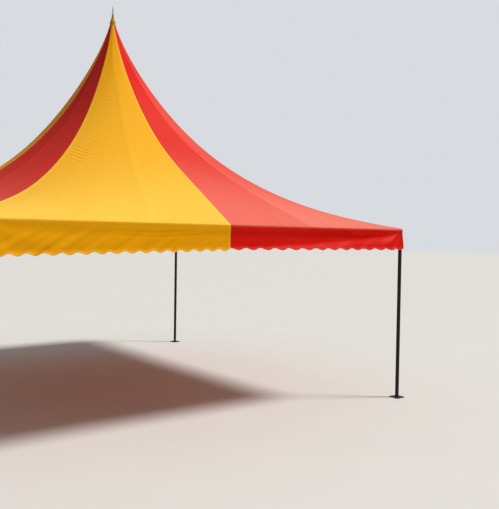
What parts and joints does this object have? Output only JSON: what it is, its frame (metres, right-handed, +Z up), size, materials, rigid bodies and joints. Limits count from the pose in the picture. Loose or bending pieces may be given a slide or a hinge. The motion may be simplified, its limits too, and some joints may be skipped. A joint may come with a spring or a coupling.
{
  "type": "marquee tent",
  "caption": "Square marquee with a pinched yellow and red canopy on a steel tube frame, with a flying mast held by crossed stays and a scalloped valance.",
  "frame": {"origin": "on the ground under the middle of the square plan", "axes": "+Z up; the front side faces -Y, its yellow half towards -X and its red half towards +X"},
  "size_m": [6.1022, 6.1022, 5.58],
  "materials": {
    "yellow_cloth": "coated tent cloth, slightly glossy, lets some light through",
    "red_cloth": "coated tent cloth, slightly glossy, lets some light through",
    "black_tube": "black paint, half matt, scuffed at the joints",
    "zinc_steel": "galvanised, dull",
    "wire_rope": "twisted galvanised wire"
  },
  "bodies": {
    "root": {"roof_front_yellow": "yellow_cloth", "roof_front_red": "red_cloth", "roof_right_yellow": "yellow_cloth", "roof_right_red": "red_cloth", "roof_back_yellow": "yellow_cloth", "roof_back_red": "red_cloth", "roof_left_yellow": "yellow_cloth", "roof_left_red": "red_cloth", "valance_front_yellow": "yellow_cloth", "valance_front_red": "red_cloth", "valance_right_yellow": "yellow_cloth", "valance_right_red": "red_cloth", "valance_back_yellow": "yellow_cloth", "valance_back_red": "red_cloth", "valance_left_yellow": "yellow_cloth", "valance_left_red": "red_cloth", "top_cap": "yellow_cloth", "leg_front_left": "black_tube", "leg_front_right": "black_tube", "leg_back_right": "black_tube", "leg_back_left": "black_tube", "foot_plate_front_left": "black_tube", "foot_plate_front_right": "black_tube", "foot_plate_back_right": "black_tube", "foot_plate_back_left": "black_tube", "corner_socket_front_left": "black_tube", "corner_socket_front_right": "black_tube", "corner_socket_back_right": "black_tube", "corner_socket_back_left": "black_tube", "eave_bar_front": "black_tube", "eave_bar_right": "black_tube", "eave_bar_back": "black_tube", "eave_bar_left": "black_tube", "mast": "zinc_steel", "mast_foot": "black_tube", "crown_ring": "zinc_steel", "finial_spike": "zinc_steel", "stay_cable_front_left": "wire_rope", "stay_cable_front_right": "wire_rope", "stay_cable_back_right": "wire_rope", "stay_cable_back_left": "wire_rope", "turnbuckle_front_left": "zinc_steel", "turnbuckle_front_right": "zinc_steel", "turnbuckle_back_right": "zinc_steel", "turnbuckle_back_left": "zinc_steel"}
  },
  "joints": []
}
